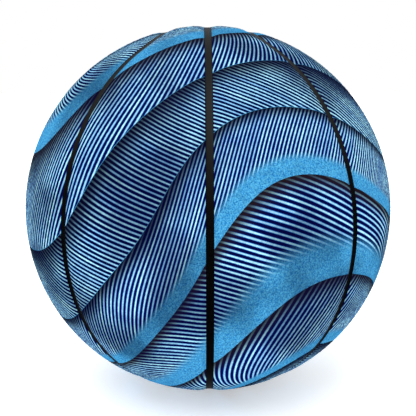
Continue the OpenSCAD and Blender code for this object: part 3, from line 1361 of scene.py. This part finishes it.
@dataclass
class ValveSeat:
    """The moulded seat: neck, flange and boot with softened corners, about the valve's axis."""

    sizes: BallSizes
    finish: RubberFinish = RubberFinish(
        name="valve_rubber", colour=srgb(16, 16, 18), worn=srgb(30, 30, 33), roughness=0.42,
        skin=0.25, bloom=0.1, fine=1800.0, slow=90.0, depth=0.04 * MM,
    )
    face: float = 119.6 * MM
    ledge: float = 116.95 * MM
    end: float = 104.6 * MM
    flange_out: float = 115.0 * MM
    flange_in: float = 114.0 * MM
    flange_r: float = 13.0 * MM
    neck_r: float = 4.4 * MM
    head_bore: float = 3.25 * MM
    shank_bore: float = 2.55 * MM
    boot_r: float = 5.5 * MM
    corner_points: int = 7
    around: int = 144

    def section(self) -> np.ndarray:
        """Half of the seat's section, with every corner cut back and bridged by a quadratic curve.

        Returns:
            Rows of distance from the axis and height from the ball's centre, anticlockwise.
        """
        def on(radius: float, reach: float) -> Span:
            """Point of a layer's round section at a distance from the axis."""
            return reach, math.sqrt(radius**2 - reach**2)

        half = (self.neck_r + self.flange_r) / 2
        # Each corner, and how many millimetres are cut back from it
        table = np.array([
            (self.shank_bore, self.end, 0.2),
            (self.boot_r, self.end, 0.9),
            (*on(self.flange_in, self.boot_r), 0.7),
            (*on(self.flange_in, half), 2.0),
            (*on(self.flange_in, self.flange_r), 0.4),
            (*on(self.flange_out, self.flange_r), 0.4),
            (*on(self.flange_out, half), 2.0),
            (*on(self.flange_out, self.neck_r), 0.1),
            (self.neck_r, self.face, 0.45),
            (self.head_bore, self.face, 0.3),
            (self.head_bore, self.ledge, 0.08),
            (self.shank_bore, self.ledge, 0.15),
        ])
        corners, cut = table[:, :2], table[:, 2:] * MM
        before, after = (np.roll(corners, way, 0) - corners for way in (1, -1))
        ends = [(corners + unit(way) * cut)[:, None] for way in (before, after)]
        t = np.linspace(0, 1, self.corner_points)[None, :, None]
        curve = (1 - t) ** 2 * ends[0] + 2 * t * (1 - t) * corners[:, None] + t**2 * ends[1]
        return curve.reshape(-1, 2)

    def build(self) -> None:
        """Builds and dresses the seat: its section turned about the valve's axis."""
        section = self.section()
        axis = self.sizes.valve_axis
        turns = np.linspace(0, TURN, self.around + 1)[:-1, None, None]
        ring = np.cos(turns) * UP + np.sin(turns) * np.cross(axis, UP)
        shell = Shell()
        numbers = shell.add(ring * section[None, :, :1] + axis * section[None, :, 1:])
        shell.grid(np.pad(numbers, ((0, 1), (0, 1)), mode="wrap"))
        piece = shell.to_object("moulded_valve_seat")
        fit(piece, self.finish.make(), "valve_seat")


@dataclass
class InnerLayers:
    """Layers under the cover and the valve's core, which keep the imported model's shapes."""

    sizes: BallSizes
    carcass: RubberFinish = RubberFinish(
        name="carcass_rubber", colour=srgb(30, 30, 32), worn=srgb(46, 45, 46), roughness=0.6,
        skin=0.12, bloom=0.1, fine=900.0, slow=40.0, depth=0.08 * MM,
    )
    thread: ThreadFinish = ThreadFinish()
    bladder: RubberFinish = RubberFinish(
        name="butyl", colour=srgb(22, 22, 24), worn=srgb(34, 34, 37), roughness=0.45,
        skin=0.3, bloom=0.05, fine=1200.0, slow=25.0, depth=0.04 * MM,
    )
    core: RubberFinish = RubberFinish(
        name="valve_core_rubber", colour=srgb(10, 10, 11), worn=srgb(20, 20, 22), roughness=0.36,
        skin=0.35, bloom=0.05, fine=2200.0, slow=140.0, depth=0.02 * MM,
    )

    def dress(self, nodes: dict[str, bpy.types.Object]) -> None:
        """Gives each node its finish.

        Args:
            nodes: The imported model's objects by name.
        """
        finishes = {
            "carcass": self.carcass.make(),
            "thread_winding": self.thread.make(self.sizes),
            "bladder": self.bladder.make(),
            "valve_core": self.core.make(),
        }
        for name, material in finishes.items():
            nodes[name].material_slots[0].material = material
            LOG.info("%s: %s", name, material.name)


@dataclass
class Studio:
    """Pale floor, soft light and the camera."""

    sizes: BallSizes
    distance: float = 0.516
    azimuth: float = math.radians(-0.5)
    elevation: float = math.radians(10.4)
    roll: float = math.radians(-0.2)
    half_view: float = 0.2723
    sensor: float = 36.0
    clip_start: float = 0.01
    clip_end: float = 50.0
    floor_half: float = 6.0
    floor_cells: int = 24
    floor_tones: tuple[Colour, Colour] = (srgb(247, 247, 247), srgb(251, 251, 250))
    fibre_scale: float = 40.0
    fibre_detail: float = 3.0
    floor_roughness: float = 0.8
    floor_gloss: float = 0.1
    floor_glow: float = 0.42
    sun_strength: float = 1.4
    sun_spread: float = math.radians(50)
    sun_tilt: float = math.radians(22)
    sun_lean: float = math.radians(-10)
    dome_strength: float = 2.8
    dome_spread: float = math.radians(140)
    fill: float = 1.0
    ground: float = 1.0

    def camera(self) -> None:
        """Places the camera at the picture's viewing angle, aimed at the ball's centre."""
        data = bpy.data.cameras.new("camera")
        data.sensor_width = self.sensor
        data.lens = self.sensor / 2 / self.half_view
        data.clip_start = self.clip_start
        data.clip_end = self.clip_end
        camera = linked("camera", data)
        level = math.cos(self.elevation)
        east, north = math.sin(self.azimuth) * level, -math.cos(self.azimuth) * level
        back = Vector((east, north, math.sin(self.elevation)))
        roll = Matrix.Rotation(self.roll, 3, "Z")
        aim = (-back).to_track_quat("-Z", "Y").to_matrix() @ roll
        camera.matrix_world = Matrix.Translation(back * self.distance) @ aim.to_4x4()
        bpy.context.scene.camera = camera

    def floor(self) -> None:
        """Lays a wide flat grid at the ball's lowest point, with a plain pale finish.

        The floor glows a little, so that it stays pale, and doesn't show in gloss.
        """
        lines = np.linspace(-self.floor_half, self.floor_half, self.floor_cells + 1)
        x, y = np.meshgrid(lines, lines, indexing="ij")
        shell = Shell()
        shell.grid(shell.add(np.stack([x, y, np.full_like(x, -self.sizes.radius)], -1)))
        floor = shell.to_object("floor")
        material, net, shader = blank_material("floor_paper")
        fibre = net.noise(net.object_place(), self.fibre_scale, self.fibre_detail)
        net.feed(shader, {
            "Base Color": net.mix(fibre, *self.floor_tones),
            "Roughness": self.floor_roughness,
            "Specular IOR Level": self.floor_gloss,
            "Emission Color": WHITE,
            "Emission Strength": self.floor_glow,
        })
        floor.data.materials.append(material)
        floor.visible_glossy = False

    @staticmethod
    def distant(name: str, strength: float, spread: float) -> bpy.types.Object:
        """Adds a distant light that shines straight down.

        Args:
            name: Name of the light.
            strength: Light on a surface that faces it, in watts per square metre.
            spread: Angle across the light.

        Returns:
            The light's object.
        """
        data = bpy.data.lights.new(name, "SUN")
        data.energy = strength
        data.angle = spread
        return linked(name, data)

    def lights(self) -> None:
        """Adds the lights, on a white ground.

        One wide soft light shines from above the front, over an even fill. A wider dome overhead
        shows in gloss alone, where the white ground doesn't show.
        """
        scene = bpy.context.scene
        scene.view_settings.view_transform = "Standard"
        top = self.distant("soft_top", self.sun_strength, self.sun_spread)
        top.rotation_euler = (self.sun_tilt, self.sun_lean, 0.0)
        dome = self.distant("gloss_dome", self.dome_strength, self.dome_spread)
        dome.visible_diffuse = False
        world = bpy.data.worlds.new("studio")
        world.use_nodes = True
        world.node_tree.nodes.clear()
        net = Graph(world.node_tree)
        even, seen = (
            net.node("ShaderNodeBackground", {"Color": WHITE, "Strength": strength}).outputs[0]
            for strength in (self.fill, self.ground)
        )
        direct = net.node("ShaderNodeLightPath").outputs["Is Camera Ray"]
        either = net.node("ShaderNodeMixShader", {0: direct, 1: even, 2: seen}).outputs[0]
        net.node("ShaderNodeOutputWorld", {"Surface": either})
        world.cycles_visibility.glossy = False
        scene.world = world


def main() -> None:
    """Builds the studio, then every sub-assembly of the ball."""
    logging.basicConfig(level=logging.INFO, format="%(name)s: %(message)s")
    for old in list(bpy.data.objects):
        bpy.data.objects.remove(old)
    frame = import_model()
    sizes, seams = BallSizes(), SeamPlan()
    studio = Studio(sizes)
    studio.camera()
    studio.floor()
    studio.lights()
    counts = {}
    Cover(sizes, seams, **counts).build()
    SeamStrips(sizes, seams).build()
    ValveSeat(sizes).build()
    InnerLayers(sizes).dress(frame["nodes"])


if __name__ == "__main__":
    main()
